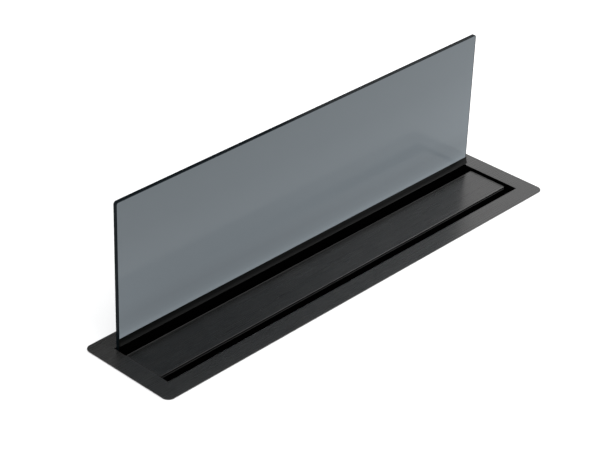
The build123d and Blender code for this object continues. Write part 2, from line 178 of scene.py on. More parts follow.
def soften(piece, width, segments=2, angle=30):
    """Round every sharp edge a little and smooth the shading across the rounding."""
    modify(
        piece,
        "BEVEL",
        width=width,
        segments=segments,
        limit_method="ANGLE",
        angle_limit=radians(angle),
    )
    smooth(piece, 35)


def dress(piece, *materials):
    """Give a piece its materials."""
    piece.data.materials.clear()
    for material in materials:
        piece.data.materials.append(material)


def stand_for(piece, body, slot, *nodes):
    """The piece rides on a body and is shown in place of CAD nodes. The slot argument is not used."""
    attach(piece, body)
    if nodes:
        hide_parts(*nodes)
    faces = sum(len(face.vertices) - 2 for face in piece.data.polygons)
    print(f"{piece.name}: {faces} triangles, on {body}")


# %% The worktop with its cut-out
def cut_window(piece, left, right, front, rear):
    """Cut a flat sheet along the four sides of a window, which stays in place as a face of its own."""
    for point, normal in (
        ((left, 0, 0), (1, 0, 0)),
        ((right, 0, 0), (1, 0, 0)),
        ((0, front, 0), (0, 1, 0)),
        ((0, rear, 0), (0, 1, 0)),
    ):
        choose(piece, "FACE", lambda c, n: True)
        bpy.ops.mesh.bisect(plane_co=point, plane_no=normal)
        leave()


cut_clear = 2 * mm
cut_x = housing_high.x + cut_clear
cut_front = front_low.y - cut_clear
cut_rear = housing_high.y + cut_clear
floor_reach = 12.0

deselect()
bpy.ops.mesh.primitive_plane_add(size=2 * floor_reach, location=(0, 0, 0))
worktop = settle(named("worktop"))
cut_window(worktop, -cut_x, cut_x, cut_front, cut_rear)
choose(worktop, "FACE", lambda c, n: abs(c.x) < cut_x and cut_front < c.y < cut_rear)
bpy.ops.mesh.delete(type="FACE")
leave()
print("cut-out:", round(2 * cut_x, 3), "by", round(cut_rear - cut_front, 3), "m")

# %% The camera
# The lens is long, so the frame's two long sides stay nearly parallel.
view_from = radians(47.39)
view_down = radians(31.27)
view_roll = radians(2.07)
view_distance = 3.146
aim = Vector((-0.0120, 0.0569, 0.0532))
forward = Vector((sin(view_from) * cos(view_down), cos(view_from) * cos(view_down), -sin(view_down)))
level = forward.cross(Vector((0, 0, 1))).normalized()
upright = level.cross(forward)
right = level * cos(view_roll) + upright * sin(view_roll)
up = upright * cos(view_roll) - level * sin(view_roll)

deselect()
bpy.ops.object.camera_add()
camera = bpy.context.object
camera.name = "camera"
turn = Matrix((right, up, -forward)).transposed().to_4x4()
camera.matrix_world = Matrix.Translation(aim - forward * view_distance) @ turn
camera.data.sensor_width = 36.0
camera.data.lens = 117.67
camera.data.clip_end = 100
scene.camera = camera
print("lens:", round(camera.data.lens, 1), "mm, from", [round(v, 2) for v in camera.matrix_world.translation])

# %% [markdown]
# ## Light
# Dark glossy surfaces show what they mirror, so the light is chosen by its reflections. The surroundings
# are white, and one softbox stands beyond the right end. A grey card hangs behind the pane and is seen in
# reflections only: the frame's rear left corner mirrors it and stays dark.

# %% The light
world = bpy.data.worlds.new("studio")
world.use_nodes = True
background = world.node_tree.nodes["Background"]
background.inputs["Color"].default_value = (1.0, 1.0, 1.0, 1.0)
background.inputs["Strength"].default_value = 1.4
scene.world = world
scene.view_settings.view_transform = "Standard"


def add_softbox(name, place, target, size, watts):
    """A square light at a place, turned towards a target."""
    deselect()
    bpy.ops.object.light_add(type="AREA", location=place)
    light = bpy.context.object
    light.name = name
    light.data.shape = "SQUARE"
    light.data.size = size
    light.data.energy = watts
    light.rotation_euler = (Vector(target) - Vector(place)).to_track_quat("-Z", "Y").to_euler()
    print(name, "of", watts, "W")


add_softbox("softbox_right", place=(2.1, -1.2, 1.4), target=(0.1, 0.05, 0.05), size=1.1, watts=35)

card_way = Vector((0.63, 0.58, 0.52))
card_far = 0.8
card_size = 0.6
card_at = Vector((frame_low.x, frame_high.y, top)) + card_way * card_far
deselect()
bpy.ops.mesh.primitive_plane_add(size=card_size, location=card_at)
card = named("grey_card")
card.rotation_euler = card_way.to_track_quat("Z", "Y").to_euler()
settle(card)
card.visible_camera = False
card.visible_diffuse = False
card.visible_shadow = False
card_grey = bpy.data.materials.new("card_grey")
card_grey.use_nodes = True
card_shader = card_grey.node_tree.nodes["Principled BSDF"]
card_shader.inputs["Base Color"].default_value = (0.2, 0.2, 0.2, 1)
card_shader.inputs["Specular IOR Level"].default_value = 0.0
dress(card, card_grey)
print("stage:", worktop.name, "and", card.name)

# %% [markdown]
# ## Finishes
# An effect that several finishes share is a node group, built once: a mottle of two tones, brushing lines
# that run one way, the crystal spangle of zinc, and dust that settles on what faces up. A group only puts
# out colours and values. The shader stays in each material, and what is the same all over a surface is
# set on the shader's own socket.

# %% Helpers for groups of nodes
FLOAT = "NodeSocketFloat"
COLOR = "NodeSocketColor"
VECTOR = "NodeSocketVector"
GREY = (0.5, 0.5, 0.5, 1.0)


def new_group(name, inputs, outputs):
    """A shader node group with named sockets: inputs as (name, kind, value), outputs as (name, kind)."""
    group = bpy.data.node_groups.new(name, "ShaderNodeTree")
    for socket_name, kind, value in inputs:
        socket = group.interface.new_socket(name=socket_name, in_out="INPUT", socket_type=kind)
        if value is not None:
            socket.default_value = value
    for socket_name, kind in outputs:
        group.interface.new_socket(name=socket_name, in_out="OUTPUT", socket_type=kind)
    return group, group.nodes.new("NodeGroupInput"), group.nodes.new("NodeGroupOutput")


def add_node(tree, kind, sockets=None, **settings):
    """One node with its settings, and with the values of its named or numbered input sockets."""
    node = tree.nodes.new(kind)
    for key, value in settings.items():
        setattr(node, key, value)
    for key, value in (sockets or {}).items():
        node.inputs[key].default_value = value
    return node


def spread_of(tree, value, low, high, to_low=0.0, to_high=1.0):
    """A value stretched from one span to another and held inside it."""
    sockets = {"From Min": low, "From Max": high, "To Min": to_low, "To Max": to_high}
    node = add_node(tree, "ShaderNodeMapRange", sockets)
    tree.links.new(value, node.inputs["Value"])
    return node.outputs["Result"]


def blend_of(tree, factor, first, second):
    """Two colours mixed by a value. Each is a socket or a plain colour."""
    node = add_node(tree, "ShaderNodeMix", data_type="RGBA")
    tree.links.new(factor, node.inputs["Factor"])
    for key, colour in (("A", first), ("B", second)):
        socket = next(one for one in node.inputs if one.name == key and one.type == "RGBA")
        if isinstance(colour, tuple):
            socket.default_value = colour
        else:
            tree.links.new(colour, socket)
    return next(one for one in node.outputs if one.type == "RGBA")


# %% Mottle: two tones that drift into each other
def build_mottle():
    group, inside, outside = new_group(
        "mottle",
        [
            ("Place", VECTOR, None),
            ("Base", COLOR, GREY),
            ("Other", COLOR, GREY),
            ("Scale", FLOAT, 20.0),
        ],
        [("Color", COLOR), ("Value", FLOAT)],
    )
    noise = add_node(group, "ShaderNodeTexNoise", {"Detail": 6.0, "Roughness": 0.6})
    group.links.new(inside.outputs["Place"], noise.inputs["Vector"])
    group.links.new(inside.outputs["Scale"], noise.inputs["Scale"])
    value = spread_of(group, noise.outputs["Fac"], 0.3, 0.7)
    colour = blend_of(group, value, inside.outputs["Base"], inside.outputs["Other"])
    group.links.new(colour, outside.inputs["Color"])
    group.links.new(value, outside.inputs["Value"])
    return group


mottle = build_mottle()


# %% Brushing: fine lines along one way, made by stretching noise
def build_brushing():
    group, inside, outside = new_group(
        "brushing",
        [("Place", VECTOR, None), ("Stretch", VECTOR, (6.0, 900.0, 900.0))],
        [("Value", FLOAT)],
    )
    scaled = add_node(group, "ShaderNodeVectorMath", operation="MULTIPLY")
    group.links.new(inside.outputs["Place"], scaled.inputs[0])
    group.links.new(inside.outputs["Stretch"], scaled.inputs[1])
    noise = add_node(group, "ShaderNodeTexNoise", {"Scale": 1.0, "Detail": 4.0, "Roughness": 0.65})
    group.links.new(scaled.outputs["Vector"], noise.inputs["Vector"])
    group.links.new(spread_of(group, noise.outputs["Fac"], 0.25, 0.75), outside.inputs["Value"])
    return group


brushing = build_brushing()


# %% Spangle: the flat crystals of a zinc coat, each with its own tone
def build_spangle():
    group, inside, outside = new_group(
        "spangle",
        [("Place", VECTOR, None), ("Scale", FLOAT, 90.0)],
        [("Value", FLOAT), ("Seam", FLOAT)],
    )
    crystals = add_node(group, "ShaderNodeTexVoronoi")
    seams = add_node(group, "ShaderNodeTexVoronoi", feature="DISTANCE_TO_EDGE")
    warp = add_node(group, "ShaderNodeTexNoise", {"Scale": 60.0, "Detail": 2.0})
    group.links.new(inside.outputs["Place"], warp.inputs["Vector"])
    shift = add_node(group, "ShaderNodeVectorMath", {"Scale": 0.012}, operation="SCALE")
    group.links.new(warp.outputs["Color"], shift.inputs[0])
    moved = add_node(group, "ShaderNodeVectorMath", operation="ADD")
    group.links.new(inside.outputs["Place"], moved.inputs[0])
    group.links.new(shift.outputs["Vector"], moved.inputs[1])
    for cells in (crystals, seams):
        group.links.new(moved.outputs["Vector"], cells.inputs["Vector"])
        group.links.new(inside.outputs["Scale"], cells.inputs["Scale"])
    split = add_node(group, "ShaderNodeSeparateColor")
    group.links.new(crystals.outputs["Color"], split.inputs["Color"])
    group.links.new(split.outputs["Red"], outside.inputs["Value"])
    seam = spread_of(group, seams.outputs["Distance"], 0.0, 0.06, 1.0, 0.0)
    group.links.new(seam, outside.inputs["Seam"])
    return group


spangle = build_spangle()


# %% Dust: a thin grey film on faces that look up, broken by noise
def build_dust():
    group, inside, outside = new_group(
        "dust",
        [("Place", VECTOR, None), ("Color", COLOR, GREY), ("Amount", FLOAT, 0.1)],
        [("Color", COLOR)],
    )
    geometry = add_node(group, "ShaderNodeNewGeometry")
    axes = add_node(group, "ShaderNodeSeparateXYZ")
    group.links.new(geometry.outputs["Normal"], axes.inputs["Vector"])
    upward = spread_of(group, axes.outputs["Z"], 0.6, 1.0)
    noise = add_node(group, "ShaderNodeTexNoise", {"Scale": 25.0, "Detail": 8.0, "Roughness": 0.7})
    group.links.new(inside.outputs["Place"], noise.inputs["Vector"])
    patches = spread_of(group, noise.outputs["Fac"], 0.35, 0.75)
    film = add_node(group, "ShaderNodeMath", operation="MULTIPLY")
    group.links.new(upward, film.inputs[0])
    group.links.new(patches, film.inputs[1])
    thin = add_node(group, "ShaderNodeMath", operation="MULTIPLY")
    group.links.new(film.outputs["Value"], thin.inputs[0])
    group.links.new(inside.outputs["Amount"], thin.inputs[1])
    dusty = blend_of(group, thin.outputs["Value"], inside.outputs["Color"], (0.32, 0.31, 0.29, 1.0))
    group.links.new(dusty, outside.inputs["Color"])
    return group


dust = build_dust()
print("groups:", [group.name for group in (mottle, brushing, spangle, dust)])


# %% Helpers for materials
def new_material(name, **settings):
    """A material with a Principled shader. Returns it with its tree, its shader and Object coordinates."""
    material = bpy.data.materials.new(name)
    material.use_nodes = True
    tree = material.node_tree
    shader = tree.nodes["Principled BSDF"]
    for key, value in settings.items():
        shader.inputs[key.replace("_", " ")].default_value = value
    place = add_node(tree, "ShaderNodeTexCoord").outputs["Object"]
    return material, tree, shader, place


def use_group(tree, group, place, **values):
    """A node group placed in a material, with its inputs set."""
    node = tree.nodes.new("ShaderNodeGroup")
    node.node_tree = group
    tree.links.new(place, node.inputs["Place"])
    for key, value in values.items():
        node.inputs[key].default_value = value
    return node


def add_height(tree, shader, value, height, below=None):
    """A bump of a real height from a value, on top of an earlier bump if there is one."""
    bump = add_node(tree, "ShaderNodeBump", {"Strength": 1.0, "Distance": height})
    tree.links.new(value, bump.inputs["Height"])
    if below is not None:
        tree.links.new(below, bump.inputs["Normal"])
    tree.links.new(bump.outputs["Normal"], shader.inputs["Normal"])
    return bump.outputs["Normal"]


def fine_noise(tree, place, scale):
    """A plain fine noise, for grain in height."""
    noise = add_node(tree, "ShaderNodeTexNoise", {"Scale": scale, "Detail": 3.0, "Roughness": 0.6})
    tree.links.new(place, noise.inputs["Vector"])
    return noise.outputs["Fac"]


# %% [markdown]
# ## Satin black coatings
# The frame, the cover and the trim are each a thin satin skin over metal that was brushed along its
# length. They could be one black, but they differ in depth, in gloss and in how rough they are. So one
# function makes all three: a mottle of two near blacks, a little dust, and the brushing lines in both
# roughness and height.

# %% Satin black coating over brushed sheet
LENGTHWISE = (5.0, 1100.0, 1100.0)


def coated(name, dark, light, low_rough, high_rough, lines=0.0008, gloss=0.5):
    """The sheet is brushed lengthwise before it is coated, so faint lines show through the satin skin."""
    material, tree, shader, place = new_material(name, IOR=1.5)
    shader.inputs["Specular IOR Level"].default_value = gloss
    tone = use_group(tree, mottle, place, Base=dark, Other=light, Scale=14.0)
    brushed = use_group(tree, brushing, place, Stretch=LENGTHWISE)
    film = use_group(tree, dust, place, Amount=0.02)
    tree.links.new(tone.outputs["Color"], film.inputs["Color"])
    tree.links.new(film.outputs["Color"], shader.inputs["Base Color"])
    rough = spread_of(tree, brushed.outputs["Value"], 0.0, 1.0, low_rough, high_rough)
    tree.links.new(rough, shader.inputs["Roughness"])
    skin = add_height(tree, shader, fine_noise(tree, place, 1400.0), 0.004 * mm)
    add_height(tree, shader, brushed.outputs["Value"], lines * mm, skin)
    return material


frame_coat = coated("frame_coating", (0.0045,) * 3 + (1,), (0.008,) * 3 + (1,), 0.25, 0.31)
cover_coat = coated("cover_coating", (0.0032,) * 3 + (1,), (0.006,) * 3 + (1,), 0.22, 0.3, gloss=0.47)
trim_coat = coated(
    "trim_coating",
    (0.0005, 0.0007, 0.0006, 1),
    (0.0010, 0.0013, 0.0011, 1),
    0.26,
    0.34,
    lines=0.0015,
    gloss=0.09,
)
print("coatings:", frame_coat.name, cover_coat.name, trim_coat.name)


# %% Near-black painted shade for what lies inside the slots
def painted_shade_black(name, tone_value):
    """Almost nothing comes back from it: it is painted shade, so the slots and the sides beside them look
    black.
    """
    material, tree, shader, place = new_material(name, Roughness=1.0)
    shader.inputs["Specular IOR Level"].default_value = 0.0
    dark = (tone_value, tone_value, tone_value, 1)
    other = (tone_value * 2, tone_value * 2, tone_value * 2, 1)
    tone = use_group(tree, mottle, place, Base=dark, Other=other, Scale=60.0)
    tree.links.new(tone.outputs["Color"], shader.inputs["Base Color"])
    add_height(tree, shader, fine_noise(tree, place, 2500.0), 0.02 * mm)
    return material


painted_slot_shade = painted_shade_black("painted_slot_shade", 0.0002)

# %% [markdown]
# ## Tinted glass
# The pane is grey-blue and close to opaque, so most of what it shows is its own colour under a soft
# gloss, and only a little light passes through. A clear glass with a tinted volume would show the worktop
# behind it. The foot stands over the black frame and gets less light from below, so the base colour is
# made up to twice as light there, and the pane comes out even. The narrow ground edges are a second,
# nearly black material.

# %% Tinted glass
pane_face, tree, shader, place = new_material("tinted_glass", Roughness=0.09, IOR=1.5)
shader.inputs["Specular IOR Level"].default_value = 0.09
shader.inputs["Transmission Weight"].default_value = 0.04
tone = use_group(
    tree, mottle, place, Base=(0.0945, 0.1080, 0.1180, 1), Other=(0.0960, 0.1097, 0.1200, 1), Scale=2.5
)
axes = add_node(tree, "ShaderNodeSeparateXYZ")
tree.links.new(place, axes.inputs["Vector"])
rise = spread_of(tree, axes.outputs["Z"], top, glass_high.z)
painted_light_ramp = add_node(tree, "ShaderNodeValToRGB")
tree.links.new(rise, painted_light_ramp.inputs["Fac"])
# Painted light: factors up the pane, 2.1 at the foot down to 1.04 at the top, that lighten the base colour
# where the black frame below leaves the foot in shade.
PAINTED_LIGHT_STEPS = (
    (0.0, 2.1),
    (0.085, 2.1),
    (0.11, 1.8),
    (0.14, 1.6),
    (0.2, 1.46),
    (0.3, 1.47),
    (0.5, 1.31),
    (0.75, 1.13),
    (1.0, 1.04),
)
while len(painted_light_ramp.color_ramp.elements) < len(PAINTED_LIGHT_STEPS):
    painted_light_ramp.color_ramp.elements.new(0.5)
for stop, (place_at, strength) in zip(painted_light_ramp.color_ramp.elements, PAINTED_LIGHT_STEPS):
    stop.position = place_at
    stop.color = (strength / 2, strength / 2, strength / 2, 1)
# The ramp is doubled back to its factor and multiplies the tint, so the painted light goes into the base
# colour.
double = add_node(tree, "ShaderNodeVectorMath", {"Scale": 2.0}, operation="SCALE")
tree.links.new(painted_light_ramp.outputs["Color"], double.inputs[0])
tinted = add_node(tree, "ShaderNodeVectorMath", operation="MULTIPLY")
tree.links.new(tone.outputs["Color"], tinted.inputs[0])
tree.links.new(double.outputs["Vector"], tinted.inputs[1])
tree.links.new(tinted.outputs["Vector"], shader.inputs["Base Color"])
ripple = add_node(tree, "ShaderNodeTexNoise", {"Scale": 5.0, "Detail": 1.0})
tree.links.new(place, ripple.inputs["Vector"])
add_height(tree, shader, ripple.outputs["Fac"], 0.01 * mm)
print("tint:", len(PAINTED_LIGHT_STEPS), "steps from the foot to the top")

# %% The pane's ground edges
pane_edge, tree, shader, place = new_material("polished_glass_edge", Roughness=0.15, IOR=1.5)
shader.inputs["Specular IOR Level"].default_value = 0.03
tone = use_group(
    tree, mottle, place, Base=(0.0015, 0.0035, 0.0045, 1), Other=(0.0035, 0.006, 0.008, 1), Scale=40.0
)
tree.links.new(tone.outputs["Color"], shader.inputs["Base Color"])
ground = use_group(tree, brushing, place, Stretch=(300.0, 900.0, 300.0))
add_height(tree, shader, ground.outputs["Value"], 0.003 * mm)
print("edges:", pane_edge.name)

# %% [markdown]
# ## Metals, rubber and plastic
# Below the worktop a maker uses few materials: galvanised sheet, bare metals with tool marks, and moulded
# rubber or plastic. Each family is one function, and its members differ in tone, in the way the lines run
# and in how coarse the skin is. That is less to get wrong than a dozen separate materials.


# %% Galvanised sheet
def galvanised(name):
    """Zinc crystals a few millimetres across, each of a slightly different grey and gloss."""
    material, tree, shader, place = new_material(name, Metallic=1.0)
    crystals = use_group(tree, spangle, place, Scale=150.0)
    colour = blend_of(tree, crystals.outputs["Value"], (0.34, 0.35, 0.36, 1), (0.42, 0.43, 0.44, 1))
    film = use_group(tree, dust, place, Amount=0.25)
    tree.links.new(colour, film.inputs["Color"])
    tree.links.new(film.outputs["Color"], shader.inputs["Base Color"])
    rough = spread_of(tree, crystals.outputs["Value"], 0.0, 1.0, 0.46, 0.3)
    tree.links.new(rough, shader.inputs["Roughness"])
    skin = add_height(tree, shader, fine_noise(tree, place, 500.0), 0.01 * mm)
    add_height(tree, shader, crystals.outputs["Seam"], 0.008 * mm, skin)
    return material


# %% Worked metals: brushed, drawn or turned, by the way their lines run
def worked(name, dark, light, low_rough, high_rough, stretch, lines=0.004):
    """A bare metal with tool lines along one way."""
    material, tree, shader, place = new_material(name, Metallic=1.0)
    tone = use_group(tree, mottle, place, Base=dark, Other=light, Scale=35.0)
    tree.links.new(tone.outputs["Color"], shader.inputs["Base Color"])
    marks = use_group(tree, brushing, place, Stretch=stretch)
    rough = spread_of(tree, marks.outputs["Value"], 0.0, 1.0, low_rough, high_rough)
    tree.links.new(rough, shader.inputs["Roughness"])
    add_height(tree, shader, marks.outputs["Value"], lines * mm)
    return material


# %% Rubber, foam and moulded plastic, by how coarse their skin is
def moulded(name, dark, light, low_rough, high_rough, grain, height):
    """A matt skin with a grain of a real height."""
    material, tree, shader, place = new_material(name)
    tone = use_group(tree, mottle, place, Base=dark, Other=light, Scale=50.0)
    tree.links.new(tone.outputs["Color"], shader.inputs["Base Color"])
    rough = spread_of(tree, tone.outputs["Value"], 0.0, 1.0, low_rough, high_rough)
    tree.links.new(rough, shader.inputs["Roughness"])
    add_height(tree, shader, fine_noise(tree, place, grain), height * mm)
    return material


# %% One finish for every material slot of the record
ROUND_RINGS = (20.0, 20.0, 1500.0)
finishes = {
    "frame_coating": frame_coat,
    "cover_coating": cover_coat,
    "trim_coating": trim_coat,
    "tinted_glass": pane_face,
    "housing_steel": galvanised("housing_steel"),
    "foam_tape": moulded("foam_tape", (0.018,) * 3 + (1,), (0.03,) * 3 + (1,), 0.85, 0.95, 1800.0, 0.12),
    "seal_rubber": moulded("seal_rubber", (0.012,) * 3 + (1,), (0.02,) * 3 + (1,), 0.55, 0.7, 900.0, 0.02),
    "filter_frame": worked(
        "filter_frame", (0.16, 0.16, 0.17, 1), (0.22, 0.22, 0.23, 1), 0.3, 0.42, LENGTHWISE
    ),
    "filter_mesh": worked(
        "filter_mesh", (0.42, 0.43, 0.44, 1), (0.55, 0.56, 0.57, 1), 0.3, 0.45, (400.0, 400.0, 400.0)
    ),
    "carriage_aluminium": worked(
        "carriage_aluminium", (0.56, 0.57, 0.58, 1), (0.66, 0.67, 0.68, 1), 0.28, 0.42, LENGTHWISE
    ),
    "ground_steel": worked(
        "ground_steel", (0.48, 0.49, 0.5, 1), (0.6, 0.61, 0.62, 1), 0.16, 0.28, ROUND_RINGS, 0.002
    ),
    "motor_steel": worked(
        "motor_steel", (0.26, 0.27, 0.28, 1), (0.34, 0.35, 0.36, 1), 0.24, 0.36, ROUND_RINGS, 0.003
    ),
    "nut_brass": worked(
        "nut_brass", (0.56, 0.38, 0.16, 1), (0.68, 0.48, 0.22, 1), 0.22, 0.36, ROUND_RINGS, 0.003
    ),
    "dark_plastic": moulded(
        "dark_plastic", (0.016, 0.016, 0.018, 1), (0.026, 0.026, 0.029, 1), 0.42, 0.55, 1200.0, 0.02
    ),
    "zinc_screws": worked(
        "zinc_screws", (0.5, 0.5, 0.48, 1), (0.62, 0.61, 0.57, 1), 0.22, 0.38, (500.0, 500.0, 500.0)
    ),
}


def circuit_green():
    """Solder mask with the copper tracks under it as a slightly raised, lighter pattern."""
    material, tree, shader, place = new_material("board_green", Roughness=0.28)
    tracks = add_node(tree, "ShaderNodeTexBrick", {"Scale": 130.0, "Mortar Size": 0.03, "Bias": -0.2})
    tree.links.new(place, tracks.inputs["Vector"])
    colour = blend_of(tree, tracks.outputs["Fac"], (0.008, 0.07, 0.028, 1), (0.02, 0.13, 0.055, 1))
    tree.links.new(colour, shader.inputs["Base Color"])
    add_height(tree, shader, tracks.outputs["Fac"], 0.03 * mm)
    return material


finishes["board_green"] = circuit_green()
for row in frame["record"]["subparts"]:
    dress(frame["nodes"][row["node"]], finishes[row["material_slot"]])
print("finishes:", len(finishes))

# %% Worktop finish
pale, tree, shader, place = new_material("pale_worktop", Roughness=0.6)
tone = use_group(tree, mottle, place, Base=(0.86, 0.86, 0.86, 1), Other=(0.9, 0.9, 0.9, 1), Scale=3.0)
tree.links.new(tone.outputs["Color"], shader.inputs["Base Color"])
dress(worktop, pale)

# %% [markdown]
# ## The frame
# The real frame is one sheet with a rectangle cut out of it and the edges of the cut folded down as a
# collar. So the piece is made that way: a flat outline with rounded corners, four cuts, the middle taken
# out, the inner edges drawn down, and only then a thickness. The flanks of the slot get the near-black
# painted shade, so what is below stays dark.

# %% Model the frame
sheet = 1.5 * mm
outer_corner = 12.0 * mm
open_x = 0.408
open_front = -0.058
open_rear = 0.060
collar_low = frame_low.z

deselect()
bpy.ops.mesh.primitive_plane_add(size=1, location=(0, 0, top))
skin = named("frame_skin")
skin.scale = (frame_high.x - frame_low.x, frame_high.y - frame_low.y, 1)
settle(skin)
choose(skin, "VERT", lambda c, n: True)
bpy.ops.mesh.bevel(offset=outer_corner, segments=10, affect="VERTICES")
leave()
cut_window(skin, -open_x, open_x, open_front, open_rear)


def over_opening(c):
    """True over the opening and along its edges."""
    hair = 0.01 * mm
    return abs(c.x) < open_x + hair and open_front - hair < c.y < open_rear + hair


choose(skin, "FACE", lambda c, n: over_opening(c))
bpy.ops.mesh.delete(type="FACE")
leave()
choose(skin, "EDGE", lambda c, d: over_opening(c))
bpy.ops.mesh.extrude_region_move(TRANSFORM_OT_translate={"value": (0, 0, collar_low - top)})
leave()
choose(skin, "FACE", lambda c, n: c.z < top - 1 * mm and n.x * c.x + n.y * c.y > 0)
bpy.ops.mesh.flip_normals()
leave()
modify(skin, "SOLIDIFY", thickness=sheet, offset=-1, use_even_offset=True)
rim_in = 0.5 * mm
rim_round = 0.3 * mm
slot_round = 0.1 * mm
corner_at = Vector((frame_high.x - outer_corner, frame_high.y - outer_corner))


def on_rim(c):
    """True along the frame's outer outline: its four sides and its four round corners."""
    x, y = abs(c.x), abs(c.y)
    if x > corner_at.x and y > corner_at.y:
        return (Vector((x, y)) - corner_at).length > outer_corner - rim_in
    return x > frame_high.x - rim_in or y > frame_high.y - rim_in


choose(skin, "EDGE", lambda c, d: near(c.z, top) and on_rim(c))
bpy.ops.mesh.bevel(offset=rim_round, segments=2, affect="EDGES")
leave()
soften(skin, slot_round, segments=1, angle=50)
# The flanks inside the slot take the near-black painted shade; the rest keeps the coating.
dress(skin, frame_coat, painted_slot_shade)
for face in skin.data.polygons:
    inside_slot = over_opening(face.center) and abs(face.normal.z) < 0.3
    face.material_index = 1 if inside_slot else 0
stand_for(skin, "housing", "frame_coating", "flange_frame")
print("frame from", [round(v, 4) for v in skin.bound_box[0]], "to", [round(v, 4) for v in skin.bound_box[6]])

# %% [markdown]
# ## The cover
# A flat plate lies over a shallow tray. Its edge is rounded and coined: a thin rim stands a little above
# the field, so it catches the light as a line at the front and another at the rear. In front of it the
# tray shows as a groove and a second, fainter line, which is the tray's own thin rim on a small ledge.

# %% Model the cover plate
plate_corner = 1.5 * mm
coin_wide = 1.2 * mm
coin_slope = 0.5 * mm
coin_deep = 0.3 * mm
edge_round = 0.7 * mm
edge_zone = 1.0 * mm
plate_low, plate_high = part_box("cover_plate")
plate = add_block("cover_top", plate_low, plate_high)
choose(plate, "EDGE", lambda c, d: abs(d.z) > 0.9)
bpy.ops.mesh.bevel(offset=plate_corner, segments=4, affect="EDGES")
leave()
choose(plate, "FACE", lambda c, n: n.z > 0.9)
bpy.ops.mesh.inset(thickness=coin_wide)
bpy.ops.mesh.inset(thickness=coin_slope)
bpy.ops.transform.translate(value=(0, 0, -coin_deep))
leave()


def on_plate_edge(c):
    """True along the plate's upper outline."""
    at_side = abs(c.x) > plate_high.x - edge_zone
    at_front_or_rear = c.y < plate_low.y + edge_zone or c.y > plate_high.y - edge_zone
    return near(c.z, plate_high.z) and (at_side or at_front_or_rear)


choose(plate, "EDGE", lambda c, d: on_plate_edge(c))
bpy.ops.mesh.bevel(offset=edge_round, segments=3, affect="EDGES")
leave()
smooth(plate, 35)
# The plate's sides and underside take the near-black painted shade; only faces that look up keep the coating,
# so the groove in front reads dark.
dress(plate, cover_coat, painted_slot_shade)
for face in plate.data.polygons:
    face.material_index = 0 if face.normal.z > 0.2 else 1
stand_for(plate, "cover", "cover_coating", "cover_plate")

# %% Model the tray
ledge_wide = 1.0 * mm
rim_tall = 1.2 * mm
rim_wide = 0.8 * mm
tray_wall = 1.5 * mm
field_deep = 0.9 * mm
# How far below the top of the tray's rim the painted shade starts.
painted_shade_below_rim = 0.4 * mm
tray_low, tray_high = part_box("cover_frame")
tray = add_block("cover_tray", tray_low, tray_high - Vector((0, 0, rim_tall)))
choose(tray, "FACE", lambda c, n: n.z > 0.9)
bpy.ops.mesh.inset(thickness=ledge_wide)
bpy.ops.mesh.extrude_region_move(TRANSFORM_OT_translate={"value": (0, 0, rim_tall)})
bpy.ops.mesh.inset(thickness=rim_wide)
bpy.ops.mesh.extrude_region_move(TRANSFORM_OT_translate={"value": (0, 0, -field_deep)})
leave()
choose(tray, "FACE", lambda c, n: n.z < -0.9)
bpy.ops.mesh.inset(thickness=tray_wall)
bpy.ops.transform.translate(value=(0, 0, tray_high.z - tray_low.z - tray_wall))
leave()
choose(tray, "EDGE", lambda c, d: near(c.z, tray_high.z))
bpy.ops.mesh.bevel(offset=rim_round, segments=2, affect="EDGES")
leave()
smooth(tray, 35)
# Below the top of its rim the tray takes the near-black painted shade, which darkens the groove and the
# walls; only the rim keeps the coating.
dress(tray, cover_coat, painted_slot_shade)
for face in tray.data.polygons:
    face.material_index = 0 if face.center.z > tray_high.z - painted_shade_below_rim else 1
stand_for(tray, "cover", "cover_coating", "cover_frame")

# %% [markdown]
# ## The pane
# A sheet of 6 mm glass with two small rounded top corners and narrow ground edges all round. A block is
# enough to start from: its two top corners are bevelled round, then both rims get a flat arris. The edges
# of tinted glass look nearly black, because light runs the length of the sheet before it comes out. So
# they have a material of their own, which also takes in a narrow border where the ground edge shows
# through the face.

# %% Model the pane
pane_corner = 5.0 * mm
arris = 0.5 * mm
border = 1.3 * mm
big_face = 0.01
pane = add_block("screen_glass", glass_low, glass_high)
choose(pane, "EDGE", lambda c, d: abs(d.y) > 0.9 and c.z > glass_high.z - 1 * mm)
bpy.ops.mesh.bevel(offset=pane_corner, segments=8, affect="EDGES")
leave()
choose(pane, "FACE", lambda c, n: abs(n.y) > 0.9)
bpy.ops.mesh.region_to_loop()
bpy.ops.mesh.bevel(offset=arris, segments=1, affect="EDGES")
leave()
choose(pane, "FACE", lambda c, n: abs(n.y) > 0.99)
bpy.ops.mesh.inset(thickness=border)
leave()
dress(pane, pane_face, pane_edge)
for face in pane.data.polygons:
    face.material_index = 0 if abs(face.normal.y) > 0.99 and face.area > big_face else 1
smooth(pane, 20)
stand_for(pane, "screen", "tinted_glass", "glass_pane")

# %% [markdown]
# ## The trim at the pane's foot
# This is a drawn profile: flat against the glass, with a cove that swings out to a thin lip, and a
# skirt that goes down into the slot in a near-black painted shade. The cove is what makes it dark at the
# top and lighter towards the lip, because it turns to face the sky. A profile is drawn point by point,
# its cove is a spin of one point, and the closed outline is then drawn out along the pane.


# %% Draw an outline across the pane and pull it along
def start_outline(name, x, y, z):
    """A mesh of one point, in edit mode, from which an outline is drawn."""
    deselect()
    bpy.ops.mesh.primitive_plane_add(size=mm, location=(x, y, z))
    piece = settle(named(name))
    only(piece)
    bpy.context.tool_settings.mesh_select_mode = MODES["VERT"]
    bpy.ops.object.mode_set(mode="EDIT")
    bpy.ops.mesh.select_all(action="SELECT")
    bpy.ops.mesh.merge(type="CENTER")
    return piece


def draw_to(y_from, z_from, y, z):
    """Draw a straight line on from the last point. Returns where it ends."""
    bpy.ops.mesh.extrude_vertices_move(TRANSFORM_OT_translate={"value": (0, y - y_from, z - z_from)})
    return y, z


